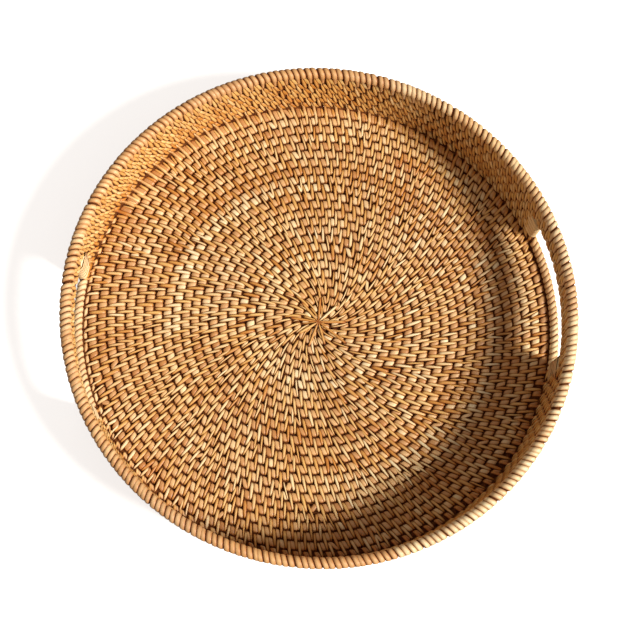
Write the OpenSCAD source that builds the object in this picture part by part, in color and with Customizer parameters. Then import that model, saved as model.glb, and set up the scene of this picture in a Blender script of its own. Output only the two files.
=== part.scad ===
// Round rattan serving tray: a flat coiled floor, a low coiled wall with two hand slots
// and a thick wrapped rim. All lengths are in millimetres. The origin lies in the resting
// plane, below the centre of the floor. +Z is up, and the hand slots face +X and -X.
//
// The floor is one spiral of round core cane. It winds outwards clockwise, seen from above,
// as half turns that swap between two centres, so that each half turn is a true arc. Every
// cane is bound with split peel, and each binding is the sleeve that the peel makes.

/* [Coil] */
// Distance between neighbouring turns of the floor coil
row_pitch = 7.4; // [6.8:0.1:8]
// Diameter of the round core cane
core_d = 5; // [4:0.1:5.2]
// Thickness of the floor over its binding
floor_t = 7; // [6.4:0.1:7.2]
// Turns that each of the five lengths of floor cane makes
turns_per_cane = 5; // [4:1:6]
// Radius of the first half turn at the centre
start_r = 4.4; // [4.2:0.1:5.5]

/* [Wall] */
// Distance between neighbouring rows of the wall
wall_pitch = 7.5; // [7:0.1:8]
// Height of the centreline of the lowest wall row
wall_base_z = 7.6; // [7.2:0.1:8.5]
// How much further out the rim lies than the lowest wall row
wall_flare = 3.6; // [2:0.1:5]

/* [Rim] */
// Diameter of the rim over its binding
rim_d = 10; // [9:0.5:12]
// Diameter of the cane inside the rim
rim_core_d = 7; // [6:0.5:8]

/* [Hand slots] */
// Angle that each hand slot spans, seen from the centre
slot_angle = 32; // [24:1:40]
// Angle that the smooth peel covers at each end of a slot
end_wrap_angle = 3.6; // [2.5:0.1:5]
// Angle of the closed end of that peel, which covers the cut canes
end_cap_angle = 0.5; // [0.3:0.1:1]

/* [Centre star] */
// Number of peel spokes over the first turns
star_spokes = 9; // [7:1:12]
// Length of a spoke from the centre
spoke_length = 22; // [16:1:28]
// Width of a spoke
spoke_w = 2; // [1.5:0.1:3]
// Thickness of a spoke
spoke_t = 0.6; // [0.4:0.1:1]

/* [Hidden] */

$fn = 96;

// Room between a core and the sleeve round it, and between the floor and the wall.
fit_gap = 0.05;
floor_canes = 5;
wall_rows = 6;
// The slots lie between the rail row below and the bridge row above.
rail_row = 1;
bridge_row = 5;

// How far each half turn's centre lies from the tray's axis.
half_shift = row_pitch / 4;
// How far a floor binding bulges past half the pitch before its neighbours flatten it.
binding_bulge = 0.4;
last_turn = floor_canes * turns_per_cane - 1;
floor_r = start_r + (last_turn + 0.75) * row_pitch;

binding_r = wall_pitch / 2;
wall_r = floor_r + binding_r;
rim_z = wall_row_z(wall_rows) + binding_r + rim_d / 2;
rim_r = wall_r + wall_flare;

slot_edge = slot_angle / 2;
wrap_edge = slot_edge + end_wrap_angle;
cap_edge = slot_edge + end_cap_angle;

RIGHT = 0;
BACK = 90;
LEFT = 180;
FRONT = 270;

CORE_COLOUR = "#b98247";
BINDING_COLOUR = "#c99a5e";
RIM_COLOUR = "#d8b27c";
PEEL_COLOUR = "#dcc195";

// Radius of a turn of the floor coil: side is 1 for its +Y half and -1 for its -Y half.
function turn_radius(side, turn) =
    start_r + turn * row_pitch + (side > 0 ? 0 : row_pitch / 2);

// Height and radius of the centreline of a wall row, counted from 1 at the bottom.
function wall_row_z(row) = wall_base_z + (row - 1) * wall_pitch;
function wall_row_r(row) = wall_r + wall_flare * (row - 1) / wall_rows;

// ---- Profiles, drawn round the centre of a cane ----

module core_profile(d) {
    circle(d = d);
}

module sleeve_profile(outer_d, inner_d) {
    difference() {
        circle(d = outer_d);
        circle(d = inner_d + 2 * fit_gap);
    }
}

// A round binding, flattened by the turns beside it and by the table.
module floor_row_profile() {
    intersection() {
        circle(d = row_pitch + 2 * binding_bulge);
        square([row_pitch, floor_t], center = true);
    }
}

module floor_sleeve_profile() {
    difference() {
        floor_row_profile();
        circle(d = core_d + 2 * fit_gap);
    }
}

// The upright oval that wraps the rows between the rail and the bridge.
module end_wrap_profile() {
    low = [wall_row_r(rail_row + 1), wall_row_z(rail_row + 1)];
    high = [wall_row_r(bridge_row - 1), wall_row_z(bridge_row - 1)];
    side = [binding_r, 0];
    translate(low) circle(r = binding_r);
    translate(high) circle(r = binding_r);
    polygon([low - side, low + side, high + side, high - side]);
}

// ---- Sweeps ----

// Both halves share this: turns first to last of one half of the floor coil.
module coil_half(side, first, last) {
    translate([side * half_shift, 0, 0])
        rotate([0, 0, side > 0 ? 0 : 180])
            rotate_extrude(angle = 180)
                for (turn = [first : last])
                    translate([turn_radius(side, turn), floor_t / 2]) children();
}

// One length of floor cane, or of its binding, counted from 1 at the centre.
module floor_length(cane) {
    first = (cane - 1) * turns_per_cane;
    last = cane * turns_per_cane - 1;
    coil_half(1, first, last) children();
    coil_half(-1, first, cane == floor_canes ? last - 1 : last) children();
}

// A stretch of a wall row between two angles.
module wall_arc(row, from_angle, to_angle) {
    rotate([0, 0, from_angle])
        rotate_extrude(angle = to_angle - from_angle)
            translate([wall_row_r(row), wall_row_z(row)]) children();
}

// A closed hoop.
module hoop(radius, height) {
    rotate_extrude() translate([radius, height]) children();
}

// ---- Floor ----

module start_star() {
    color(PEEL_COLOUR) translate([0, 0, floor_t]) {
        cylinder(r = start_r, h = spoke_t);
        for (spoke = [0 : star_spokes - 1])
            rotate([0, 0, spoke * 360 / star_spokes])
                translate([0, -spoke_w / 2, 0]) cube([spoke_length, spoke_w, spoke_t]);
    }
}

module floor_core(cane) {
    color(CORE_COLOUR) floor_length(cane) core_profile(core_d);
}

module floor_binding(cane) {
    color(BINDING_COLOUR) floor_length(cane) floor_sleeve_profile();
}

// The coil's last turn is shaved down, so that the spiral ends in a round floor.
module floor_coil_tail() {
    color(BINDING_COLOUR) intersection() {
        union() {
            coil_half(-1, last_turn, last_turn) floor_row_profile();
            coil_half(1, last_turn + 1, last_turn + 1) floor_row_profile();
        }
        cylinder(r = floor_r - fit_gap, h = floor_t);
    }
}

// ---- Wall ----

// Rows beside the slots: facing is the middle angle of the front or the back stretch.
module wall_core_stretch(row, facing) {
    reach = 90 - cap_edge;
    color(CORE_COLOUR)
        wall_arc(row, facing - reach, facing + reach) core_profile(core_d);
}

module wall_binding_stretch(row, facing) {
    reach = 90 - (row == rail_row ? slot_edge : wrap_edge);
    color(BINDING_COLOUR)
        wall_arc(row, facing - reach, facing + reach)
            sleeve_profile(2 * binding_r, core_d);
}

module wall_core_hoop(row) {
    color(CORE_COLOUR) hoop(wall_row_r(row), wall_row_z(row)) core_profile(core_d);
}

module wall_binding_hoop(row) {
    color(BINDING_COLOUR)
        hoop(wall_row_r(row), wall_row_z(row)) sleeve_profile(2 * binding_r, core_d);
}

// ---- Hand slots ----

// The plain wrap on the rail below a slot.
module slot_rail_wrap(facing) {
    color(RIM_COLOUR)
        wall_arc(rail_row, facing - slot_edge, facing + slot_edge)
            sleeve_profile(2 * binding_r, core_d);
}

// Smooth peel over the cut canes: facing is the slot's angle, side is 1 towards the back
// of a right-hand slot and -1 towards its front.
module slot_end_wrap(facing, side) {
    from_angle = side > 0 ? slot_edge : -wrap_edge;
    bore_from = side > 0 ? cap_edge : -wrap_edge;
    bore_angle = end_wrap_angle - end_cap_angle;
    color(PEEL_COLOUR) difference() {
        rotate([0, 0, facing + from_angle])
            rotate_extrude(angle = end_wrap_angle) end_wrap_profile();
        for (row = [rail_row + 1 : bridge_row - 1])
            wall_arc(row, facing + bore_from, facing + bore_from + bore_angle)
                circle(d = core_d + 2 * fit_gap);
    }
}

// ---- Rim ----

module rim_core() {
    color(CORE_COLOUR) hoop(rim_r, rim_z) core_profile(rim_core_d);
}

module rim_binding() {
    color(RIM_COLOUR) hoop(rim_r, rim_z) sleeve_profile(rim_d, rim_core_d);
}

start_star();
floor_core(1);  // floor_core_1
floor_core(2);  // floor_core_2
floor_core(3);  // floor_core_3
floor_core(4);  // floor_core_4
floor_core(5);  // floor_core_5
floor_binding(1);  // floor_binding_1
floor_binding(2);  // floor_binding_2
floor_binding(3);  // floor_binding_3
floor_binding(4);  // floor_binding_4
floor_binding(5);  // floor_binding_5
floor_coil_tail();
wall_core_hoop(1);  // wall_core_1
wall_core_stretch(2, FRONT);  // wall_core_2_front
wall_core_stretch(2, BACK);  // wall_core_2_back
wall_core_stretch(3, FRONT);  // wall_core_3_front
wall_core_stretch(3, BACK);  // wall_core_3_back
wall_core_stretch(4, FRONT);  // wall_core_4_front
wall_core_stretch(4, BACK);  // wall_core_4_back
wall_core_hoop(5);  // wall_core_5
wall_core_hoop(6);  // wall_core_6
wall_binding_stretch(1, FRONT);  // wall_binding_1_front
wall_binding_stretch(1, BACK);  // wall_binding_1_back
wall_binding_stretch(2, FRONT);  // wall_binding_2_front
wall_binding_stretch(2, BACK);  // wall_binding_2_back
wall_binding_stretch(3, FRONT);  // wall_binding_3_front
wall_binding_stretch(3, BACK);  // wall_binding_3_back
wall_binding_stretch(4, FRONT);  // wall_binding_4_front
wall_binding_stretch(4, BACK);  // wall_binding_4_back
wall_binding_hoop(5);  // wall_binding_5
wall_binding_hoop(6);  // wall_binding_6
slot_rail_wrap(RIGHT);  // slot_rail_wrap_right
slot_rail_wrap(LEFT);  // slot_rail_wrap_left
slot_end_wrap(RIGHT, -1);  // slot_end_wrap_right_front
slot_end_wrap(RIGHT, 1);  // slot_end_wrap_right_back
slot_end_wrap(LEFT, 1);  // slot_end_wrap_left_front
slot_end_wrap(LEFT, -1);  // slot_end_wrap_left_back
rim_core();
rim_binding();
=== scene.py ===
"""Looks of the round rattan serving tray.

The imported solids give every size. Each peel binding is a plain sleeve there, and here it becomes
the stitches that it stands for: a short stitch holds one row of cane, and the long stitch
beside it reaches over to the row before it, inwards on the floor and down on the wall.

Places along a row are turn angles, in radians: they start at the left-hand side of the tray's
centre and grow clockwise, seen from above, the way that the coil is wound.
"""

import math

import bpy
import numpy as np
from mathutils import Matrix, Vector


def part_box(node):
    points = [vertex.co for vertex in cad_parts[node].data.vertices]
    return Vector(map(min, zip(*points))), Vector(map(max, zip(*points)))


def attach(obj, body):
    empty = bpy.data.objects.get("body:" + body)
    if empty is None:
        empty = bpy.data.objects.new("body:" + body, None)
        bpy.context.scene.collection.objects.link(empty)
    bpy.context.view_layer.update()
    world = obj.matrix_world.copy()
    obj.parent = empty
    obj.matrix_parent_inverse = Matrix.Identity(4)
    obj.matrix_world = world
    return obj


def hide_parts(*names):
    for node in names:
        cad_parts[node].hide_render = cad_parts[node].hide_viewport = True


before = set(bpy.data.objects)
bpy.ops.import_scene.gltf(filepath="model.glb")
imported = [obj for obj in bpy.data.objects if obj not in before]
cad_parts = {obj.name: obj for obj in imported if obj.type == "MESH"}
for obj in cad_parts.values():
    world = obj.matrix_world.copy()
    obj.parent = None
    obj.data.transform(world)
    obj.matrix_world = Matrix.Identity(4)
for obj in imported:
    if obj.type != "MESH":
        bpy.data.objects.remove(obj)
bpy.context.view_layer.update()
rng = np.random.default_rng(11)

FULL_TURN = 2 * np.pi
FLOOR_CANES = 5
TURNS_PER_CANE = 5
WALL_ROWS = 6
RIM_ROW = WALL_ROWS + 1
RAIL_ROW = 1
SPLIT_ROWS = (2, 3, 4)
BRIDGE_ROW = 5

# ---- Sizes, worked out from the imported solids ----


def size_of(node):
    low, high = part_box(node)
    return high - low


def middle_of(node):
    low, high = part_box(node)
    return (low + high) / 2


CORE_R = size_of("floor_core_1").z / 2
FLOOR_T = size_of("floor_binding_1").z
FLOOR_MID = FLOOR_T / 2
PITCH = (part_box("floor_core_2")[1].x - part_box("floor_core_1")[1].x) / TURNS_PER_CANE
LAST_TURN = FLOOR_CANES * TURNS_PER_CANE
START_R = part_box("floor_core_1")[1].x - CORE_R - (TURNS_PER_CANE - 0.75) * PITCH
FLOOR_R = size_of("floor_coil_tail").y / 2

BINDING_R = size_of("wall_binding_5").z / 2
RIM_R = size_of("rim_binding").z / 2
SPOKE_T = size_of("start_star").z


def row_centre(row):
    """(radius, height) of a wall row's cane. The row above the last is the rim."""
    if row == RIM_ROW:
        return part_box("rim_binding")[1].x - RIM_R, middle_of("rim_binding").z
    node = f"wall_core_{row}_back" if row in SPLIT_ROWS else f"wall_core_{row}"
    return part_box(node)[1].y - CORE_R, middle_of(node).z


ROWS = {row: np.array(row_centre(row)) for row in range(RAIL_ROW, RIM_ROW + 1)}


def reach_of(node, row):
    """Angle from the X axis to the far side of a piece that lies beside the axis."""
    return math.asin(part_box(node)[1].y / (ROWS[row][0] + BINDING_R))


SLOT_EDGE = reach_of("slot_rail_wrap_right", RAIL_ROW)
WRAP_EDGE = reach_of("slot_end_wrap_right_back", SPLIT_ROWS[-1])

# ---- How the peel is worked ----

# Lengths are in metres. Places and widths along a row are shares of a stitch, which is the way
# from one long strand to the next.
STITCH = 0.0083  # usual stitch on the floor
PEEL_T = 0.0008
PLAY = 0.0001  # left free between a stitch and the solid's outline
STRIP_LENGTH = (14, 46)  # stitches that one strip of peel lasts
GAP_AT = 0.675  # where the next row's long strand comes down
SHORT_AT = 0.33  # middle of the short stitch
FLOOR_LEAN = 0.12  # by which a long strand leans over one row, away from the floor's centre
WALL_LEAN = 0.25
RELAX = 0.3  # how far a stitch gives way to even out the gaps beside it
EXTRA_STITCH = 1.36  # a gap this many stitches wide takes one more
FLOOR_LONG_WIDTH = 0.35
FLOOR_SHORT_WIDTH = 0.43
WALL_LONG_WIDTH = 0.38
WALL_SHORT_WIDTH = 0.4
BARE_WIDTH = 0.68  # of a short stitch that has no strand beside it
ODD_STITCHES = 0.04  # share of the floor's short stitches that lie askew
ASKEW = 0.12  # how far those usually slant, either way
BAR = 0.00048  # half of the dark bar between one short stitch and the next row's
SHORT_DROP = 0.0004  # by which the floor's short stitches lie lower than long ones
GROOVE_R = 0.0013  # of the peel that passes between two rows
CORNER_R = 0.0026  # of the peel that passes between the floor and the wall
THIN_TAIL = 0.45 * PITCH  # width from which the coil's tail has stitches of its own
TAIL_SHARE = 0.97  # of a turn, to where the tail is too thin to be seen
GROOVE_SAMPLES = 110  # a turn of the floor
RING_SAMPLES = 240
TAIL_SAMPLES = 160

STAR_SPOKES = 9
SPOKE_WIDTH = 0.0021
SPOKE_SAMPLES = 12
DIVE_AT = 0.72  # of a strip's length, from where it sinks under the stitches

RIM_WIDTH = 0.51  # of a stitch, width of each of its two wraps
RIM_SLANT = 0.0016  # from a wrap's middle to its outer or inner side, along the rim
RIM_SLIM = 0.0005  # by which the wraps lie closer to the rim's cane than its sleeve does
RIM_OVERLAP = 0.0013  # by which the last wall row's short stitches reach up to the rim
LONG_RIM_OVERLAP = 0.001  # by which its long ones do
RAIL_SLANT = 0.002
WRAP_SPACING = 0.0046  # of the rails' wraps
END_BANDS = 5
END_R = BINDING_R - PLAY  # of the bands' bend round the slot's end
BAND_LENGTH = (0.0115, 0.016)  # from a slot's rounded end to where the stitches cover the band

# Across a strip of peel: place over half the width, height over its thickness, and a mask of
# painted light: 1 on the face, which gets a painted highlight, and 0 at the edges, painted shade.
FLAT = np.array([(-1, -1.0, 0), (-0.9, -0.2, 0.5), (-0.5, 0.05, 1),
                 (0.5, 0.05, 1), (0.9, -0.2, 0.5), (1, -1.0, 0)]).T
ROUND = np.array([(-1, -1.5, 0), (-0.82, -0.5, 0.45), (-0.4, 0, 0.8), (0.05, 0.05, 1),
                  (0.45, -0.05, 0.8), (0.82, -0.5, 0.45), (1, -1.5, 0)]).T
SMOOTH = np.array([(-1, -0.5, 0.55), (-0.85, -0.1, 0.8), (0, 0.05, 1),
                   (0.85, -0.1, 0.8), (1, -0.5, 0.55)]).T


def strip_tones(count, low, high):
    """One tone a stitch, mostly between low and high. A strip of peel keeps its tone."""
    tones = np.empty(count)
    start = 0
    while start < count:
        length = rng.integers(*STRIP_LENGTH)
        tones[start:start + length] = rng.normal(0.5, 0.24)
        start += length
    tones += rng.normal(0, 0.14, count)
    return low + (high - low) * np.clip(tones, 0, 1)


# ---- Loops: the closed line that a stitch follows, seen along the row ----


def oval_loop(samples, power):
    """A rounded oval of half length 1 and half height 1.

    Every loop is a list of points, how far each lies from the outer end towards the inner one,
    from 0 to 1, and how free of painted shade it is: 0 at both ends, where it turns between rows.
    """
    phi = FULL_TURN * (np.arange(samples) + 0.5) / samples
    c, s = np.cos(phi), np.sin(phi)
    along = np.sign(c) * np.abs(c) ** (2 / power)
    up = np.sign(s) * np.abs(s) ** (2 / power)
    return np.stack([along, up], axis=-1), (1 - along) / 2, np.abs(up)


def smooth_loop(keys, per_key):
    """Draws a closed curve through keys, each of them (along, up, inward, unshaded) of one point,
    where unshaded is 0 under full painted shade.
    """
    keys = np.array(keys, float)
    t = (np.arange(per_key) / per_key)[None, :, None]
    p0, p1, p2, p3 = (np.roll(keys, shift, axis=0)[:, None, :] for shift in (1, 0, -1, -2))
    slope = p2 - p0
    bend = 2 * p0 - 5 * p1 + 4 * p2 - p3
    twist = 3 * (p1 - p2) + p3 - p0
    curve = p1 + 0.5 * t * (slope + t * (bend + t * twist))
    curve = curve.reshape(-1, keys.shape[1])
    return curve[:, :2], np.clip(curve[:, 2], 0, 1), np.clip(curve[:, 3], 0, 1)


LONG_LOOP = oval_loop(18, 2.8)
SHORT_LOOP = oval_loop(14, 4)
WRAP_LOOP = oval_loop(16, 2)

# ---- Stitches ----


def column(values, count):
    """One value a stitch, ready to combine with a loop's samples."""
    return np.broadcast_to(values, count)[:, None]


def stitch_mesh(loop, place, shift, width, tones, lens=0.0, section=FLAT, closed=True):
    """Builds one band of peel a stitch.

    place(s, a, b) gives points for s, the way along the row in metres, and a and b, the loop's
    own two directions. shift holds where the loop's outer and inner ends lie along the row, or
    where every one of its points does. width is how wide the band is at those ends, and lens how
    much it narrows towards both.
    """
    path, inward, clean = loop
    count = len(tones)
    path = np.broadcast_to(path, (count, *path.shape[-2:]))
    if closed:
        tangent = np.roll(path, -1, axis=1) - np.roll(path, 1, axis=1)
    else:
        tangent = np.gradient(path, axis=1)
    tangent /= np.linalg.norm(tangent, axis=-1, keepdims=True)
    inward = np.broadcast_to(inward, path.shape[:2])
    centre = shift
    if isinstance(shift, tuple):
        centre = column(shift[0], count) * (1 - inward) + column(shift[1], count) * inward
    half = (column(width[0], count) * (1 - inward) + column(width[1], count) * inward) / 2
    half = half * (1 - lens * np.abs(2 * inward - 1) ** 3)
    across, height, painted_light = section
    sink = height * PEEL_T
    s = centre[..., None] + half[..., None] * across
    a = path[..., 0, None] + tangent[..., 1, None] * sink
    b = path[..., 1, None] - tangent[..., 0, None] * sink
    steps = np.linalg.norm(np.diff(path, axis=1, append=path[:, :1]), axis=-1)
    length = np.cumsum(steps, axis=1) + rng.uniform(0, 1, count)[:, None]
    return {
        "points": place(s, a, b),
        "closed": closed,
        # Painted light: a highlight on the face, and shade at the edges and where the loop turns
        # down
        "painted_light": np.broadcast_to(clean[..., None] * painted_light, s.shape),
        "tone": np.broadcast_to(column(tones, count)[..., None], s.shape),
        "u": np.broadcast_to(length[..., None], s.shape),
        "v": half[..., None] * across,
    }


def grid_faces(part):
    """Corner numbers of the faces of a stitch mesh."""
    count, ring, cross = part["points"].shape[:3]
    k = np.arange(ring if part["closed"] else ring - 1)
    m = np.arange(cross - 1)
    stitch = np.arange(count)[:, None, None] * ring * cross
    here = stitch + k[None, :, None] * cross + m
    after = stitch + ((k + 1) % ring)[None, :, None] * cross + m
    return np.stack([here, here + 1, after + 1, after], axis=-1).reshape(-1, 4)


def make_piece(name, parts, material, slot, *nodes):
    """Joins stitch meshes into one object that rides on the tray and stands for CAD nodes."""
    starts = np.cumsum([0] + [part["tone"].size for part in parts])
    points = np.concatenate([part["points"].reshape(-1, 3) for part in parts])
    faces = np.concatenate([grid_faces(part) + start for part, start in zip(parts, starts)])
    data = {key: np.concatenate([part[key].ravel() for part in parts])
            for key in ("painted_light", "tone", "u", "v")}
    mesh = bpy.data.meshes.new(name)
    mesh.vertices.add(len(points))
    mesh.vertices.foreach_set("co", points.astype(np.float32).ravel())
    mesh.loops.add(faces.size)
    mesh.loops.foreach_set("vertex_index", faces.astype(np.int32).ravel())
    mesh.polygons.add(len(faces))
    mesh.polygons.foreach_set("loop_start", np.arange(0, faces.size, 4, dtype=np.int32))
    mesh.update(calc_edges=True)
    mesh.polygons.foreach_set("use_smooth", np.ones(len(faces), bool))
    for key in ("painted_light", "tone"):
        layer = mesh.attributes.new(key, "FLOAT", "POINT")
        layer.data.foreach_set("value", data[key].astype(np.float32))
    uv = np.stack([data["u"], data["v"]], axis=-1)
    layer = mesh.uv_layers.new(name="Peel")
    layer.data.foreach_set("uv", uv[faces.ravel()].astype(np.float32).ravel())
    mesh.validate()
    mesh.materials.append(material)
    piece = bpy.data.objects.new(name, mesh)
    bpy.context.scene.collection.objects.link(piece)
    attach(piece, "root")
    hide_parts(*nodes)


# ---- Materials ----


def linear(red, green, blue):
    """Linear colour from display values of 0 to 255."""
    def channel(value):
        value /= 255
        return value / 12.92 if value <= 0.04045 else ((value + 0.055) / 1.055) ** 2.4
    return (channel(red), channel(green), channel(blue), 1)


# Dark brown of real blotches on the peel, and of painted shade between stitches and on the cores
STAIN_AND_SHADE = linear(58, 14, 2)
DARK_FIBRE = (0.72, 0.6, 0.46, 1)  # this and the next three multiply the peel's colour
LIGHT_FIBRE = (1.12, 1.1, 1.06, 1)
GOLDEN_AREA = (1.0, 0.94, 0.8, 1)
PALE_AREA = (0.98, 0.985, 0.98, 1)


class Nodes:
    """Short ways to add and link the nodes of one material."""

    def __init__(self, name):
        self.material = bpy.data.materials.new(name)
        self.material.use_nodes = True
        self.tree = self.material.node_tree
        self.shader = self.tree.nodes["Principled BSDF"]

    def put(self, socket, value):
        """Links a socket to another node's output, or sets its value."""
        if isinstance(value, bpy.types.NodeSocket):
            self.tree.links.new(value, socket)
        else:
            socket.default_value = value

    def add(self, kind, inputs=None, **settings):
        node = self.tree.nodes.new("ShaderNode" + kind)
        for key, value in settings.items():
            setattr(node, key, value)
        for key, value in (inputs or {}).items():
            self.put(node.inputs[key], value)
        return node

    def ramp(self, factor, stops):
        node = self.add("ValToRGB", {"Fac": factor})
        elements = node.color_ramp.elements
        while len(elements) < len(stops):
            elements.new(0.5)
        for element, (position, colour) in zip(elements, stops):
            element.position = position
            element.color = colour
        return node.outputs["Color"]

    def range(self, value, low, high, to_low, to_high):
        node = self.add("MapRange", {
            "Value": value, "From Min": low, "From Max": high,
            "To Min": to_low, "To Max": to_high})
        return node.outputs["Result"]

    def noise(self, coordinates, scale, detail=3.0, stretch=(1, 1, 1)):
        mapping = self.add("Mapping", {"Vector": coordinates, "Scale": stretch})
        node = self.add("TexNoise", {
            "Vector": mapping.outputs["Vector"], "Scale": scale, "Detail": detail})
        return node.outputs["Fac"]

    def mix(self, factor, first, second, blend="MIX"):
        node = self.add("Mix", data_type="RGBA", blend_type=blend)
        for index, value in zip((0, 6, 7), (factor, first, second)):
            self.put(node.inputs[index], value)
        return node.outputs[2]

    def finish(self, colour, roughness, bump_height, bump_strength, bump_distance):
        """Links everything to the shader and returns the material."""
        bump = self.add("Bump", {
            "Height": bump_height, "Strength": bump_strength, "Distance": bump_distance})
        self.put(self.shader.inputs["Base Color"], colour)
        self.put(self.shader.inputs["Roughness"], roughness)
        self.put(self.shader.inputs["Normal"], bump.outputs["Normal"])
        return self.material


def peel_material(name, tones, shade_to, roughness_from, relief):
    """Split rattan peel: tone by strip, fine fibres along it, a painted highlight on its face, and
    dark brown painted shade where stitches meet.

    tones are (tone, edge colour, face colour) from the lowest tone to the highest; the edge colour
    is darker as painted shade and the face colour paler as a painted highlight. The number after
    tones is the value of the painted-light mask at which the painted shade ends.
    """
    nodes = Nodes(name)
    uv = nodes.add("UVMap", uv_map="Peel").outputs["UV"]
    place = nodes.add("TexCoord").outputs["Object"]
    tone = nodes.add("Attribute", attribute_name="tone").outputs["Fac"]
    painted_light = nodes.add("Attribute", attribute_name="painted_light").outputs["Fac"]
    fibre = nodes.noise(uv, 1.0, 4.0, (90, 3200, 1))
    patch = nodes.noise(place, 60.0, 3.0)
    mottle = nodes.noise(uv, 1.0, 3.0, (350, 900, 1))

    # The strip's own colour, with painted shade towards its edges and a painted highlight on its
    # face
    warm_and_shade_colour = nodes.ramp(tone, [(at, edge) for at, edge, _ in tones])
    face_highlight_colour = nodes.ramp(tone, [(at, face) for at, _, face in tones])
    colour = nodes.mix(nodes.range(painted_light, 0.3, 1.0, 0.0, 1.0), warm_and_shade_colour, face_highlight_colour)

    # Fibres, and larger areas that are warmer, paler or blotched
    streak = nodes.range(fibre, 0.3, 0.72, 0.0, 1.0)
    fine = nodes.mix(streak, DARK_FIBRE, LIGHT_FIBRE)
    colour = nodes.mix(0.6, colour, fine, "MULTIPLY")
    warm = nodes.range(patch, 0.45, 0.7, 0.0, 0.35)
    colour = nodes.mix(warm, colour, warm_and_shade_colour)
    region = nodes.range(nodes.noise(place, 11.0, 1.0), 0.35, 0.65, 0.0, 1.0)
    tint = nodes.mix(region, GOLDEN_AREA, PALE_AREA)
    colour = nodes.mix(1.0, colour, tint, "MULTIPLY")
    blotch = nodes.range(mottle, 0.62, 0.8, 0.0, 0.3)
    colour = nodes.mix(blotch, colour, STAIN_AND_SHADE)

    # Painted shade where the peel turns down between stitches, which is also rougher
    painted_shade = nodes.range(painted_light, 0.05, shade_to, 1.0, 0.0)
    colour = nodes.mix(painted_shade, colour, STAIN_AND_SHADE)
    peel_roughness = nodes.range(fibre, 0.3, 0.7, roughness_from, roughness_from + 0.2)
    roughness = nodes.add("Math", {0: peel_roughness, 1: painted_shade}, operation="ADD", use_clamp=True)
    nodes.shader.inputs["Specular IOR Level"].default_value = 0.5
    return nodes.finish(colour, roughness.outputs[0], fibre, relief, 0.00025)


def core_material():
    """Round core cane: matt, fibrous, and dark brown all over as painted shade for where it shows
    between stitches.
    """
    nodes = Nodes("core_cane")
    place = nodes.add("TexCoord").outputs["Object"]
    grain = nodes.noise(place, 420.0, 5.0)
    patch = nodes.noise(place, 70.0, 2.0)
    # Dark brown with grain: painted shade for the gaps between stitches
    colour = nodes.ramp(grain, [(0.3, STAIN_AND_SHADE), (0.7, linear(120, 72, 34))])
    colour = nodes.mix(nodes.range(patch, 0.4, 0.7, 0.0, 0.6), colour, STAIN_AND_SHADE)
    roughness = nodes.range(grain, 0.3, 0.7, 0.8, 0.95)
    nodes.shader.inputs["Specular IOR Level"].default_value = 0.1
    return nodes.finish(colour, roughness, grain, 0.6, 0.0004)


# Each is (tone, edge colour, face colour); the edge colour is darker as painted shade, and the
# face colour paler as a painted highlight.
GOLDEN = (0.0, linear(162, 84, 16), linear(212, 150, 68))
HONEY = (0.2, linear(180, 110, 34), linear(240, 204, 134))
STRAW = (0.45, linear(196, 138, 66), linear(255, 248, 214))
TAN = (0.55, linear(166, 96, 42), linear(200, 146, 92))
PINK = (0.8, linear(182, 118, 64), linear(236, 198, 148))
CREAM = (1.0, linear(202, 150, 98), linear(255, 244, 208))
ALL_TONES = (GOLDEN, HONEY, STRAW, TAN, PINK, CREAM)
PALE_TONES = (TAN, PINK, CREAM)

# The range of tones of each kind of stitch
FLOOR_LONG_TONES = (0.03, 0.45)
FLOOR_SHORT_TONES = (0.54, 0.97)
WALL_LONG_TONES = (0.02, 0.34)
WALL_SHORT_TONES = (0.0, 0.28)
STAR_TONES = (0.02, 0.22)
RIM_TONES = (0.74, 1.0)
RAIL_TONES = (0.8, 1.0)
END_TONES = (0.9, 1.0)

binding_peel = peel_material(
    "binding_peel", ALL_TONES, shade_to=0.52, roughness_from=0.32, relief=0.5)
rim_peel = peel_material(
    "rim_peel", PALE_TONES, shade_to=0.45, roughness_from=0.4, relief=0.5)
smooth_peel = peel_material(
    "smooth_peel", ALL_TONES, shade_to=0.35, roughness_from=0.45, relief=0.15)
core_cane = core_material()

# ---- Floor ----


def stacked(x, y, z):
    return np.stack(np.broadcast_arrays(x, y, z), axis=-1)


def coil_radius(turn_angle):
    """Radius of the floor coil where it has turned this far."""
    return START_R + PITCH * turn_angle / FULL_TURN


def coil_point(turn_angle, out, up):
    """A point beside the floor cane's centreline, which goes in half turns about two centres."""
    half = np.floor(turn_angle / np.pi)
    upper = half % 2 == 0
    swept = turn_angle - half * np.pi
    azimuth = np.where(upper, np.pi - swept, -swept)
    radius = START_R + half * PITCH / 2 + out
    x = np.where(upper, 1, -1) * PITCH / 4 + radius * np.cos(azimuth)
    return stacked(x, radius * np.sin(azimuth), FLOOR_MID + up)


def axis_distance(points):
    return np.hypot(points[..., 0], points[..., 1])


def floor_lean(turn_angle):
    """How far a long strand leans over one row: more on one side, and most at the centre."""
    azimuth = np.pi - turn_angle
    by_side = 0.07 * math.cos(azimuth + 0.7)
    at_centre = 0.2 * math.exp(-coil_radius(turn_angle) / 0.035)
    return FLOOR_LEAN + by_side + at_centre


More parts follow.
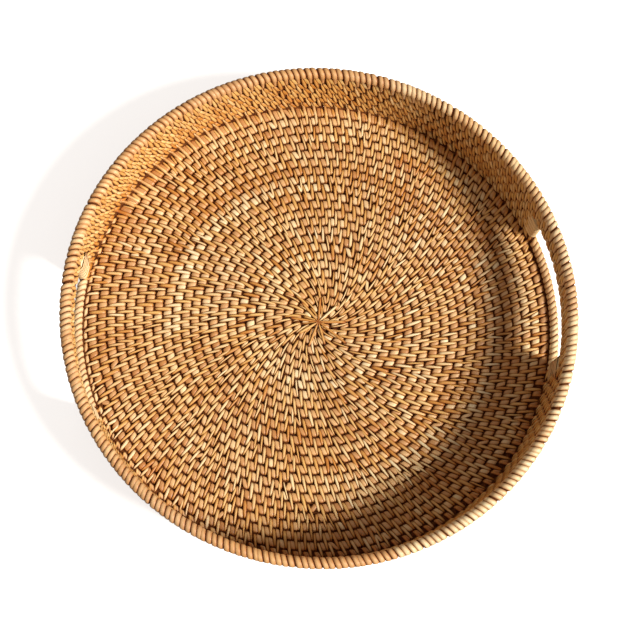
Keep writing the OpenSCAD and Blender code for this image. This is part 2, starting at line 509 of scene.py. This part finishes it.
def work_the_coil(end_angle):
    """Places the floor's long stitches one after another, as they are sewn.

    Each goes into the next gap of the turn before. Where the gaps have grown too far apart for
    one stitch, an extra one goes in. Returns the stitches' angles, and the angles on the turn
    before where their inner ends lie.
    """
    first = FULL_TURN / STAR_SPOKES
    at = [first * i for i in range(STAR_SPOKES + 1)]
    ends = [angle - FULL_TURN for angle in at]
    anchor = 0
    while at[-1] < end_angle:
        step = min(first, STITCH / coil_radius(at[-1]))
        held = at[anchor + 1] - at[anchor]
        lean = floor_lean(at[-1])
        target = at[anchor] + FULL_TURN + (GAP_AT - lean) * held
        gap = target - at[-1]
        wobble = rng.normal(0, 0.035) * step
        if gap > EXTRA_STITCH * step:
            at.append(at[-1] + gap / 2 + wobble)
            ends.append(at[-1] - FULL_TURN + (lean + 0.1) * step)
        else:
            at.append(at[-1] + (1 - RELAX) * gap + RELAX * step + wobble)
            ends.append(at[anchor] + GAP_AT * held)
            anchor += 1
    return np.array(at), np.array(ends)


def oval(loop, half_length, half_height, middle, count):
    """A loop of its own size and place for each stitch."""
    path, inward, clean = loop
    lengths = np.broadcast_to(half_length, count)
    heights = np.broadcast_to(half_height, count)
    scale = np.stack([lengths, heights], axis=-1)
    offset = np.stack([np.broadcast_to(middle, count), np.zeros(count)], axis=-1)
    return path * scale[:, None, :] + offset[:, None, :], inward, clean


def coil_place(turns, radius):
    """Places a loop whose first direction is outwards and whose second is up."""
    def place(s, a, b):
        return coil_point(turns[:, None, None] + s / radius[:, None, None], a, b)
    return place


def over_a_slot(turns, edge):
    """Whether these turn angles lie within edge of the X axis."""
    return np.abs((turns + np.pi / 2) % np.pi - np.pi / 2) < edge


def room_outside(turns):
    """How far it is from the floor cane's centreline to the edge of the floor."""
    return FLOOR_R - axis_distance(coil_point(turns, 0, 0))


def long_floor_stitches(at, drift, spacing):
    """Long stitches over their own turn of the coil and the one before. drift is how far one
    leans, along the row, over one row."""
    count = len(at)
    outer = np.minimum(PITCH / 2, room_outside(at))
    half_length = (outer + 1.5 * PITCH) / 2
    loop = oval(LONG_LOOP, half_length - BAR, FLOOR_MID - PLAY / 2, outer - half_length, count)
    width = spacing * FLOOR_LONG_WIDTH * rng.normal(1, 0.06, count)
    return stitch_mesh(
        loop, coil_place(at, coil_radius(at)), (-0.5 * drift, 1.5 * drift),
        (width * 0.66, width * 1.15), strip_tones(count, *FLOOR_LONG_TONES), section=ROUND)


def short_floor_stitches(at, drift, spacing, step, bare):
    """Short stitches over one turn. Beside the thin end of the tail, those of the turn before
    go over both."""
    count = len(at)
    middle = at + np.where(bare, 0.5, SHORT_AT) * step
    width = spacing * np.where(bare, BARE_WIDTH, FLOOR_SHORT_WIDTH) * rng.normal(1, 0.05, count)
    tilt = 0.5 * drift + 0.03 * spacing * rng.normal(1, 0.5, count)
    tilt += np.where(rng.random(count) < ODD_STITCHES, rng.normal(0, ASKEW, count), 0) * spacing
    tones = strip_tones(count, *FLOOR_SHORT_TONES)
    room = room_outside(at)
    outer = np.where(room < PITCH / 2 + THIN_TAIL, room, PITCH / 2)
    half_length = (outer + PITCH / 2) / 2
    wide = outer + PITCH / 2 > THIN_TAIL
    loop = oval(
        SHORT_LOOP, half_length[wide] - BAR, FLOOR_MID - SHORT_DROP,
        (outer - half_length)[wide], wide.sum())
    return stitch_mesh(
        loop, coil_place(middle[wide], coil_radius(at)[wide]), (-tilt[wide], tilt[wide]),
        (width[wide], width[wide]), tones[wide], lens=0.1)


def floor_stitches(at, ends, step, bare):
    """Long and short stitches that start at these coil angles.

    bare says where no strand comes down from the wall, so that the short stitch is wider.
    """
    radius = coil_radius(at)
    spacing = step * radius
    # A long strand also covers the turn inside its own, whose circle is smaller.
    drift = (ends + FULL_TURN - at) * (radius - PITCH / 2)
    return [
        long_floor_stitches(at, drift, spacing),
        short_floor_stitches(at, drift, spacing, step, bare)]


def tube(path, radius, painted_light=0.0, tone=0.0):
    """A round strip along a line of points, with full painted shade unless its face mask is 1."""
    tangent = np.gradient(path, axis=0)
    tangent /= np.linalg.norm(tangent, axis=1, keepdims=True)
    side = np.cross(tangent, (0, 0, 1))
    over = np.cross(side, tangent)
    phi = np.linspace(0, FULL_TURN, 9)
    radius = np.broadcast_to(radius, len(path))[:, None]
    circle = side[:, None, :] * np.cos(phi)[:, None] + over[:, None, :] * np.sin(phi)[:, None]
    flat = np.zeros((1, len(path), len(phi)))
    return {
        "points": (path[:, None, :] + radius[..., None] * circle)[None],
        "closed": False,
        "painted_light": flat + painted_light,
        "tone": flat + tone,
        "u": flat + np.arange(len(path))[:, None] * 0.002,
        "v": flat + phi * radius,
    }


def floor_groove(first, last):
    """The peel that passes between one turn and the next; it gets the dark core material, painted
    shade in the gap.
    """
    count = round((last - first) / FULL_TURN * GROOVE_SAMPLES)
    turns = np.linspace(max(first, np.pi), last, count)
    return tube(coil_point(turns, -PITCH / 2, 0), GROOVE_R)


def tail_core(start, end):
    """The shaved cane inside the last turn, which has no core of its own in the CAD."""
    turns = np.linspace(start, end, TAIL_SAMPLES)
    outer = np.minimum(PITCH / 2, room_outside(turns))
    half = (outer + PITCH / 2) / 2
    phi = np.linspace(0, FULL_TURN, 13)
    out = (outer - half)[:, None] + 0.8 * half[:, None] * np.cos(phi)
    points = coil_point(turns[:, None], out, CORE_R * np.sin(phi)[None, :])
    flat = np.zeros((1, *points.shape[:2]))
    return {
        "points": points[None],
        "closed": False,
        "painted_light": flat,
        "tone": flat,
        "u": flat + turns[:, None],
        "v": flat + phi,
    }


def build_floor():
    """Builds the floor's stitches, cane by cane, and returns where its last turn has them."""
    tail_start = (LAST_TURN - 0.5) * FULL_TURN
    tail_end = tail_start + TAIL_SHARE * FULL_TURN
    at, ends = work_the_coil(tail_start + FULL_TURN)
    step = np.diff(at, append=at[-1] + STITCH / coil_radius(at[-1]))
    bare = (at > tail_end - FULL_TURN) & over_a_slot(at, SLOT_EDGE)
    for cane in range(1, FLOOR_CANES + 1):
        first = (cane - 1) * TURNS_PER_CANE * FULL_TURN
        last = min(cane * TURNS_PER_CANE * FULL_TURN, tail_start)
        mine = (at >= first) & (at < last)
        parts = floor_stitches(at[mine], ends[mine], step[mine], bare[mine])
        node = f"floor_binding_{cane}"
        make_piece(f"floor_stitches_{cane}", parts, binding_peel, "peel_binding", node)
        groove = floor_groove(first, last)
        make_piece(f"floor_groove_{cane}", [groove], core_cane, "core_cane", node)
    mine = (at >= tail_start) & (at < tail_end)
    parts = floor_stitches(at[mine], ends[mine], step[mine], bare[mine])
    make_piece("floor_tail_stitches", parts, binding_peel, "peel_binding", "floor_coil_tail")
    parts = [tail_core(tail_start, tail_end), floor_groove(tail_start, tail_end)]
    make_piece("floor_tail_cane", parts, core_cane, "core_cane", "floor_coil_tail")
    return at[(at >= tail_start) & (at < tail_start + FULL_TURN)]


# ---- Star of strips over the first turns ----


def build_star():
    """Strips fan out from the centre, each of its own length, and dive under the stitches."""
    count = STAR_SPOKES
    azimuth = np.arange(count) * FULL_TURN / count
    azimuth -= 0.1 * np.cos(azimuth)
    length = size_of("start_star").x / 2 * rng.uniform(0.9, 1.1, count)
    length[-1] *= 1.25  # one strip reaches further than the others
    # Each strip is drawn from its far end to the centre: x is the share of its length.
    x = np.linspace(1, 0, SPOKE_SAMPLES)
    dive = 10.4 * np.clip(x - DIVE_AT, 0, 1) ** 1.5
    height = FLOOR_T + SPOKE_T * (1 - 0.25 * (1 - x) ** 6 - dive)
    along = length[:, None] * x
    path = np.stack([along, np.broadcast_to(height, along.shape)], axis=-1)
    # Painted shade where the strips meet at the centre and where each dives under the stitches
    clean = np.clip(np.minimum(4 * x + 0.2, 6 * (1 - x)), 0, 1)
    waist = 0.4 + 0.6 * np.minimum(1, 3 * x)

    def place(s, a, b):
        s = s * waist[None, :, None]
        c, t = np.cos(azimuth)[:, None, None], np.sin(azimuth)[:, None, None]
        return stacked(a * c - s * t, a * t + s * c, b)

    width = SPOKE_WIDTH * rng.normal(1, 0.1, count)
    tones = rng.uniform(*STAR_TONES, count)
    tones[1] = STRAW[0]  # one strip is as pale as straw
    loop = (path, np.zeros(SPOKE_SAMPLES), clean)
    part = stitch_mesh(
        loop, place, (0.0, 0.0), (width, width), tones, section=ROUND, closed=False)
    make_piece("start_star_strips", [part], smooth_peel, "smooth_peel", "start_star")


# ---- Wall ----


def ring_point(turn_angle, radius, height):
    return stacked(-radius * np.cos(turn_angle), radius * np.sin(turn_angle), height)


def row_place(turns, centre, upward):
    """Places a loop whose first direction is upward, a unit (radius, height) step, and whose
    second faces into the tray."""
    inward = np.array([-upward[1], upward[0]])

    def place(s, a, b):
        radius = centre[0] + a * upward[0] + b * inward[0]
        height = centre[1] + a * upward[1] + b * inward[1]
        return ring_point(turns[:, None, None] + s / centre[0], radius, height)
    return place


def direction(row):
    """Unit step from the row below up to this one, and the distance between them."""
    gap = ROWS[row] - ROWS[row - 1] if row > RAIL_ROW else ROWS[row + 1] - ROWS[row]
    distance = np.linalg.norm(gap)
    return gap / distance, distance


def short_wall_stitches(row, turns, width, tilt, tones):
    """Short stitches. Those of the lowest row lie against the floor, and those of the last row
    reach up against the rim."""
    upward, _ = direction(row)
    count = len(turns)
    extra = RIM_OVERLAP if row == WALL_ROWS else 0
    inward = 0.0005 if row == RAIL_ROW else 0
    loop = oval(SHORT_LOOP, BINDING_R - PLAY + extra, BINDING_R - 4 * PLAY, extra, count)
    centre = ROWS[row] - (inward, 0)
    return stitch_mesh(
        loop, row_place(turns, centre, upward), (-tilt, tilt), (width, width), tones, lens=0.2)


def long_wall_stitches(row, turns, drift, width, tones):
    """Long stitches over their own row and the one below."""
    upward, distance = direction(row)
    count = len(turns)
    middle = (ROWS[row] + ROWS[row - 1]) / 2
    extra = LONG_RIM_OVERLAP if row == WALL_ROWS else 0
    half = distance / 2 + BINDING_R - PLAY + extra
    loop = oval(LONG_LOOP, half, BINDING_R - PLAY, extra, count)
    return stitch_mesh(
        loop, row_place(turns, middle, upward), (-0.5 * drift, 1.5 * drift), (width, width), tones,
        lens=0.7, section=ROUND)


def corner_loop(turns):
    """From the top of the lowest wall row, down into the corner and out over the floor, as far
    as the inner side of the coil's tail, or of the turn before where the tail is thin."""
    r, z = ROWS[RAIL_ROW]
    b = BINDING_R - PLAY
    top = FLOOR_T - PLAY / 2
    tail_side = axis_distance(coil_point(turns, -PITCH / 2, 0))
    turn_side = axis_distance(coil_point(turns - FULL_TURN, -PITCH / 2, 0))
    reach = np.where(FLOOR_R - tail_side > THIN_TAIL, tail_side, turn_side)
    loops = []
    for inner in reach + PLAY:
        # The last number of each key is how free of painted shade the peel is: none where it goes
        # down between rows, some in the corner.
        below = [
            (inner, FLOOR_MID, 1, 0),
            (inner + 0.0008, 0.0007, 0.9, 0.8),
            (FLOOR_R - 0.001, 0.0005, 0.6, 1)]
        outside = [
            (r + 0.6 * b, z - 0.75 * b, 0.4, 1),
            (r + b, z, 0.2, 1),
            (r + 0.7 * b, z + 0.7 * b, 0.1, 1)]
        inside = [
            (r, z + b, 0, 0),
            (r - 0.72 * b, z + 0.66 * b, 0.1, 1),
            (r - 0.95 * b, z, 0.3, 0.6)]
        above = [
            (FLOOR_R - 0.0006, top, 0.5, 0.6),
            (inner + 0.0012, top - 0.0002, 0.85, 1)]
        loops.append(smooth_loop(below + outside + inside + above, 2))
    path = np.stack([loop[0] for loop in loops])
    return path, loops[0][1], loops[0][2]


def rail_row_stitches(turns, drift, width, tones):
    """Long stitches over the lowest row and the edge of the floor."""
    def place(s, a, b):
        return ring_point(turns[:, None, None] + s / ROWS[RAIL_ROW][0], a, b)
    return stitch_mesh(
        corner_loop(turns), place, (-0.3 * drift, 1.3 * drift), (width * 0.85, width * 1.1), tones,
        section=ROUND)


def ring_turns(before, lean):
    """Turn angles of a ring's long stitches, which go into the gaps of the ring before."""
    spacing = FULL_TURN / len(before)
    turns = before + (GAP_AT - lean) * spacing
    padded = np.concatenate([[turns[-1] - FULL_TURN], turns, [turns[0] + FULL_TURN]])
    turns = turns + RELAX * ((padded[2:] + padded[:-2]) / 2 - turns)
    return turns + rng.normal(0, 0.03, len(turns)) * spacing


def wall_groove(row, keep_from=0.0, keep_to=FULL_TURN):
    """The peel between a wall row and the one below it, or the floor; it gets the dark core
    material, painted shade in the gap.
    """
    turns = np.linspace(keep_from, keep_to, RING_SAMPLES)
    if row == RAIL_ROW:
        return tube(ring_point(turns, FLOOR_R + 0.0011, FLOOR_MID + 0.0006), CORNER_R)
    r, z = (ROWS[row] + ROWS[row - 1]) / 2
    return tube(ring_point(turns, r, z), GROOVE_R)


def wall_row_parts(row, turns, inner_end, keep):
    """The stitches of one wall row, where keep is true.

    Over a slot, the row that bridges it has none below, so its long stitches stay on their own
    row there. Under a slot, the rail has wraps instead of stitches.
    """
    count = len(turns)
    spacing = FULL_TURN / count * ROWS[row][0]
    drift = (inner_end - turns) * ROWS[row][0]
    tones = strip_tones(count, *WALL_LONG_TONES)
    width = spacing * WALL_LONG_WIDTH * rng.normal(1, 0.07, count)
    bare = over_a_slot(turns, WRAP_EDGE) & (row == RAIL_ROW)
    short_turns = turns + np.where(bare, 0.5, SHORT_AT) * FULL_TURN / count
    short_tones = strip_tones(count, *WALL_SHORT_TONES)
    short_width = np.where(bare, BARE_WIDTH, WALL_SHORT_WIDTH) * spacing
    short_width = short_width * rng.normal(1, 0.06, count)
    short = keep & ~(over_a_slot(short_turns, SLOT_EDGE) & (row == RAIL_ROW))
    reaching = keep.copy()
    if row == BRIDGE_ROW:
        reaching &= ~over_a_slot(turns, WRAP_EDGE)
    parts = [short_wall_stitches(
        row, short_turns[short], short_width[short], 0.8 * drift[short], short_tones[short])]
    if row == RAIL_ROW:
        parts.append(rail_row_stitches(
            turns[reaching], drift[reaching], width[reaching], tones[reaching]))
    else:
        parts.append(long_wall_stitches(
            row, turns[reaching], drift[reaching], width[reaching], tones[reaching]))
    alone = keep & ~reaching
    if alone.any():
        parts.append(short_wall_stitches(
            row, turns[alone], width[alone], 0.8 * drift[alone], tones[alone]))
    return parts


def build_split_row(row, turns, inner_end):
    """A row whose stitches stop at the hand slots."""
    edge = SLOT_EDGE if row == RAIL_ROW else WRAP_EDGE
    beside = ~over_a_slot(turns, edge)
    back = np.sin(turns) > 0
    reach = np.pi / 2 - (edge if row > RAIL_ROW else 0)
    for side, here, middle in (("back", back, np.pi / 2), ("front", ~back, 1.5 * np.pi)):
        parts = wall_row_parts(row, turns, inner_end, beside & here)
        node = f"wall_binding_{row}_{side}"
        make_piece(f"wall_stitches_{row}_{side}", parts, binding_peel, "peel_binding", node)
        groove = wall_groove(row, middle - reach, middle + reach)
        make_piece(f"wall_groove_{row}_{side}", [groove], core_cane, "core_cane", node)


def build_full_row(row, turns, inner_end):
    """A row whose stitches go all the way round."""
    parts = wall_row_parts(row, turns, inner_end, np.ones(len(turns), bool))
    node = f"wall_binding_{row}"
    make_piece(f"wall_stitches_{row}", parts, binding_peel, "peel_binding", node)
    grooves = [wall_groove(row)]
    if row == BRIDGE_ROW:
        grooves = [
            wall_groove(row, WRAP_EDGE, np.pi - WRAP_EDGE),
            wall_groove(row, np.pi + WRAP_EDGE, FULL_TURN - WRAP_EDGE)]
    make_piece(f"wall_groove_{row}", grooves, core_cane, "core_cane", node)


def build_wall(floor_turns):
    """Builds every ring from the rail to the row below the rim, and returns the last ring."""
    step = FULL_TURN / len(floor_turns)
    inner_end = floor_turns + GAP_AT * step
    turns = ring_turns(floor_turns, WALL_LEAN)
    build_rail_wraps(turns)
    for row in range(RAIL_ROW, WALL_ROWS + 1):
        if row in SPLIT_ROWS or row == RAIL_ROW:
            build_split_row(row, turns, inner_end)
        else:
            build_full_row(row, turns, inner_end)
        inner_end = turns + GAP_AT * step
        turns = ring_turns(turns, WALL_LEAN)
    return turns, inner_end


# ---- Rim and hand slots ----


def rim_centre():
    """Centre of the rim wraps, moved out so that they still reach the rim's outer edge."""
    return ROWS[RIM_ROW] + (RIM_SLIM - PLAY, 0.0)


def wrap_loop(radius, slant):
    """A round wrap whose outer side lies further back along the row than its inner side."""
    path, _, _ = WRAP_LOOP
    return (path * radius, path[:, 1], np.ones(len(path))), slant * path[None, :, 1]


def rim_tail_loop():
    """Round the rim and down over the row below it. The third column is how far the strand has
    gone from the rim towards the gap that it goes into, and the fourth how free of painted shade
    it is."""
    _, distance = direction(RIM_ROW)
    rim, row = distance / 2, -distance / 2
    big, small = RIM_R - RIM_SLIM, BINDING_R - PLAY
    keys = []
    for angle in np.radians((-92, -55, -20, 20, 55, 92)):
        keys.append((rim + big * math.cos(angle), big * math.sin(angle), 0, 1))
    keys.append((0, 0.95 * (big + small) / 2, 0.55, 0.9))
    for angle in np.radians((100, 140, 180, 220, 260)):
        # Painted shade where the strand turns down between this row and the one below it
        clean = 0.2 if abs(math.sin(angle)) < 0.1 else 1
        keys.append((row + small * math.cos(angle), small * math.sin(angle), 1, clean))
    keys.append((0, -0.95 * (big + small) / 2, 0.55, 0.9))
    return smooth_loop(keys, 2)


def short_rim_wraps(turns, spacing, tones):
    """Wraps that go round the rim alone, between the long ones."""
    count = len(turns)
    upward, _ = direction(RIM_ROW)
    loop, shift = wrap_loop(RIM_R - RIM_SLIM, RIM_SLANT)
    middle_turns = turns + (0.5 + rng.normal(0, 0.02, count)) * spacing
    width = spacing * ROWS[RIM_ROW][0] * RIM_WIDTH * rng.normal(1, 0.04, count)
    place = row_place(middle_turns, rim_centre(), upward)
    return stitch_mesh(loop, place, shift, (width, width), tones, section=ROUND)


def long_rim_wraps(turns, inner_end, spacing, tones):
    """Wraps that go round the rim and on into the row below."""
    count = len(turns)
    upward, _ = direction(RIM_ROW)
    loop = rim_tail_loop()
    path, gone, _ = loop
    drift = (inner_end - turns) * ROWS[RIM_ROW][0]
    slant = np.clip(path[:, 1] / RIM_R, -1, 1) * RIM_SLANT * (1 - gone)
    shift = slant + drift[:, None] * gone * 1.1
    width = spacing * ROWS[RIM_ROW][0] * RIM_WIDTH * rng.normal(1, 0.04, count)
    place = row_place(turns, (rim_centre() + ROWS[WALL_ROWS]) / 2, upward)
    return stitch_mesh(loop, place, shift, (width, width * 0.55), tones, section=ROUND)


def build_rim(turns, inner_end):
    spacing = FULL_TURN / len(turns)
    tones = strip_tones(len(turns), *RIM_TONES)
    parts = [
        short_rim_wraps(turns, spacing, tones),
        long_rim_wraps(turns, inner_end, spacing, tones)]
    make_piece("rim_wraps", parts, rim_peel, "rim_peel", "rim_binding")
    make_piece("rim_groove", [wall_groove(RIM_ROW)], core_cane, "core_cane", "rim_binding")


def build_rail_wraps(row_turns):
    """Plain wraps, like rope, on the row below each slot, from the last stitch to the next."""
    upward, _ = direction(RAIL_ROW)
    loop, shift = wrap_loop(BINDING_R - PLAY, RAIL_SLANT)
    radius = ROWS[RAIL_ROW][0]
    step = FULL_TURN / len(row_turns)
    for name, middle in (("right", np.pi), ("left", 0.0)):
        away = (row_turns - middle + np.pi) % FULL_TURN - np.pi
        last = away[away < -SLOT_EDGE].max()
        short_follows = last + 0.5 * step < -SLOT_EDGE
        start = last + (0.5 + BARE_WIDTH / 2 if short_follows else 0.2) * step
        end = away[away > SLOT_EDGE].min() - 0.2 * step
        count = round((end - start) * radius / WRAP_SPACING)
        turns = middle + start + (end - start) * (np.arange(count) + 0.5) / count
        turns += rng.normal(0, 0.0008, count)
        width = (end - start) * radius / count * rng.normal(1.04, 0.05, count)
        part = stitch_mesh(
            loop, row_place(turns, ROWS[RAIL_ROW], upward), shift, (width, width),
            strip_tones(count, *RAIL_TONES), section=ROUND)
        node = f"slot_rail_wrap_{name}"
        make_piece(f"slot_rail_wraps_{name}", [part], rim_peel, "rim_peel", node)


def end_band_loop(count):
    """The way of each band, from its far end outside the wall, round the slot's end, to its far
    end inside. The arms sink a little towards their far ends, where the stitches cover them."""
    bend = np.linspace(-1, 1, 9) * np.pi / 2
    arm = np.linspace(1, 0, 8)[:-1]
    depth = END_R * (1 - 0.35 * arm ** 3)
    inside = rng.uniform(*BAND_LENGTH, (count, 1))
    outside = rng.uniform(*BAND_LENGTH, (count, 1))
    turned = np.broadcast_to(END_R - END_R * np.cos(bend), (count, len(bend)))
    along = np.concatenate([END_R + arm * outside, turned, END_R + arm[::-1] * inside], axis=1)
    across = np.concatenate([-depth, END_R * np.sin(bend), depth[::-1]])
    path = np.stack([along, np.broadcast_to(across, along.shape)], axis=-1)
    gone = np.concatenate([arm, 0 * bend, arm[::-1]]) ** 1.5
    # Painted shade towards the arms' far ends, under the stitches
    arm_clean = np.clip(3 * (1 - arm) + 0.2, 0, 1)
    clean = np.concatenate([arm_clean, np.ones(len(bend)), arm_clean[::-1]])
    return path, gone, clean


def end_bands(middle, side):
    """Flat bands stacked up the slot's end. Each goes round the cut canes, from one face of the
    wall to the other, and its ends slip in between the stitches beside it."""
    low = ROWS[SPLIT_ROWS[0]] - (0, BINDING_R + 0.0003)
    high = ROWS[SPLIT_ROWS[-1]] + (0, BINDING_R + 0.0012)
    count = END_BANDS
    share = (np.arange(count) + 0.5) / count
    centre = low + share[:, None] * (high - low)
    height = (high - low)[1] / count
    path, gone, clean = end_band_loop(count)
    if side < 0:
        # Drawn the other way, so that the band's face still points outwards.
        path = path[:, ::-1]
    width = height * 1.12 * rng.normal(1, 0.03, count)
    tones = rng.uniform(*END_TONES, count)

    def place(s, a, b):
        radius = centre[:, None, None, 0]
        turns = middle + side * (SLOT_EDGE + a / radius)
        return ring_point(turns, radius - b, centre[:, None, None, 1] + s)
    return stitch_mesh(
        (path, gone, clean), place, (0.0, 0.0), (width, width * 0.62), tones,
        section=SMOOTH, closed=False)


def end_filler(middle, side):
    """Fills the hollow between the top band and the row that bridges the slot."""
    radius, height = (ROWS[SPLIT_ROWS[-1]] + ROWS[BRIDGE_ROW]) / 2
    away = np.linspace(0.02 * END_R, (WRAP_EDGE - SLOT_EDGE) * radius, 16)
    rounded = np.sqrt(1 - np.clip(1 - away / END_R, 0, 1) ** 2)
    turns = middle + side * (SLOT_EDGE + away / radius)
    path = ring_point(turns, radius, height)
    return tube(path, 0.96 * END_R * rounded, painted_light=1.0, tone=CREAM[0])


def build_end_wrap(name, middle, side):
    parts = [end_bands(middle, side), end_filler(middle, side)]
    node = f"slot_end_wrap_{name}"
    make_piece(f"slot_end_bands_{name}", parts, smooth_peel, "smooth_peel", node)


def build_slots():
    build_end_wrap("right_back", np.pi, -1)
    build_end_wrap("right_front", np.pi, 1)
    build_end_wrap("left_back", 0.0, 1)
    build_end_wrap("left_front", 0.0, -1)


last_floor_turn = build_floor()
build_star()
rim_turns, rim_ends = build_wall(last_floor_turn)
build_rim(rim_turns, rim_ends)
build_slots()

# The cores stay as the CAD has them, and only get their material, dark brown as painted shade.
for node_name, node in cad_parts.items():
    if "_core" in node_name:
        node.data.materials.clear()
        node.data.materials.append(core_cane)

# ---- Stage, light and camera ----

HANDLE_TURN = math.radians(6.5)  # from the picture's horizontal to the line through both slots
CAMERA_TILT = math.radians(15.6)
CAMERA_AZIMUTH = math.radians(-11.7)
CAMERA_DISTANCE = 1.0608
CAMERA_LENS = 74.3
AIM = Vector((0.00134, 0.00153, FLOOR_T))
SUN_AZIMUTH = math.radians(-25)
SUN_HEIGHT = math.radians(38)
SUN_ANGLE = math.radians(16)  # how large it looks, which softens the shadows' edges
SUN_ENERGY = 4.85
SUN_COLOUR = (1, 0.965, 0.9)
SKY_COLOUR = (1, 0.86, 0.76, 1)
SKY_STRENGTH = 0.305
STAGE_HALF = 3.0
STAGE_GLOW = 0.7


def from_page(vector):
    """Turns a direction given in the picture's own axes into the tray's."""
    return Matrix.Rotation(-HANDLE_TURN, 3, "Z") @ Vector(vector)


def page_direction(azimuth, elevation):
    """Direction, in the tray's axes, towards a place in the sky over the picture. Azimuth 0 is
    the picture's right."""
    return from_page((
        math.cos(azimuth) * math.cos(elevation),
        math.sin(azimuth) * math.cos(elevation),
        math.sin(elevation)))


def add_camera():
    camera = bpy.data.objects.new("camera", bpy.data.cameras.new("camera"))
    bpy.context.scene.collection.objects.link(camera)
    back = page_direction(CAMERA_AZIMUTH - np.pi / 2, np.pi / 2 - CAMERA_TILT)
    right = from_page((0, 1, 0)).cross(back).normalized()
    up = back.cross(right)
    camera.matrix_world = Matrix.Translation(from_page(AIM) + back * CAMERA_DISTANCE) @ Matrix(
        (right, up, back)).transposed().to_4x4()
    camera.data.lens = CAMERA_LENS
    bpy.context.scene.camera = camera


def add_light():
    sun = bpy.data.objects.new("sun", bpy.data.lights.new("sun", "SUN"))
    bpy.context.scene.collection.objects.link(sun)
    sun.data.energy = SUN_ENERGY
    sun.data.angle = SUN_ANGLE
    sun.data.color = SUN_COLOUR
    toward = page_direction(SUN_AZIMUTH, SUN_HEIGHT)
    sun.rotation_mode = "QUATERNION"
    sun.rotation_quaternion = toward.to_track_quat("Z", "Y")
    world = bpy.data.worlds.new("studio")
    world.use_nodes = True
    background = world.node_tree.nodes["Background"]
    background.inputs["Color"].default_value = SKY_COLOUR
    background.inputs["Strength"].default_value = SKY_STRENGTH
    bpy.context.scene.world = world
    bpy.context.scene.view_settings.view_transform = "Standard"


def add_stage():
    mesh = bpy.data.meshes.new("stage_floor")
    far = STAGE_HALF
    corners = [(-far, -far, 0), (far, -far, 0), (far, far, 0), (-far, far, 0)]
    mesh.from_pydata(corners, [], [(0, 1, 2, 3)])
    nodes = Nodes("stage_white")
    place = nodes.add("TexCoord").outputs["Object"]
    grain = nodes.noise(place, 40.0)
    colour = nodes.ramp(grain, [(0.0, (0.86, 0.86, 0.855, 1)), (1.0, (0.9, 0.9, 0.9, 1))])
    nodes.shader.inputs["Emission Color"].default_value = (1, 1, 1, 1)
    nodes.shader.inputs["Emission Strength"].default_value = STAGE_GLOW
    roughness = nodes.range(grain, 0, 1, 0.8, 0.9)
    mesh.materials.append(nodes.finish(colour, roughness, grain, 0.02, 0.0001))
    floor = bpy.data.objects.new("stage_floor", mesh)
    bpy.context.scene.collection.objects.link(floor)
    floor.visible_diffuse = False
    floor.visible_glossy = False


add_camera()
add_light()
add_stage()
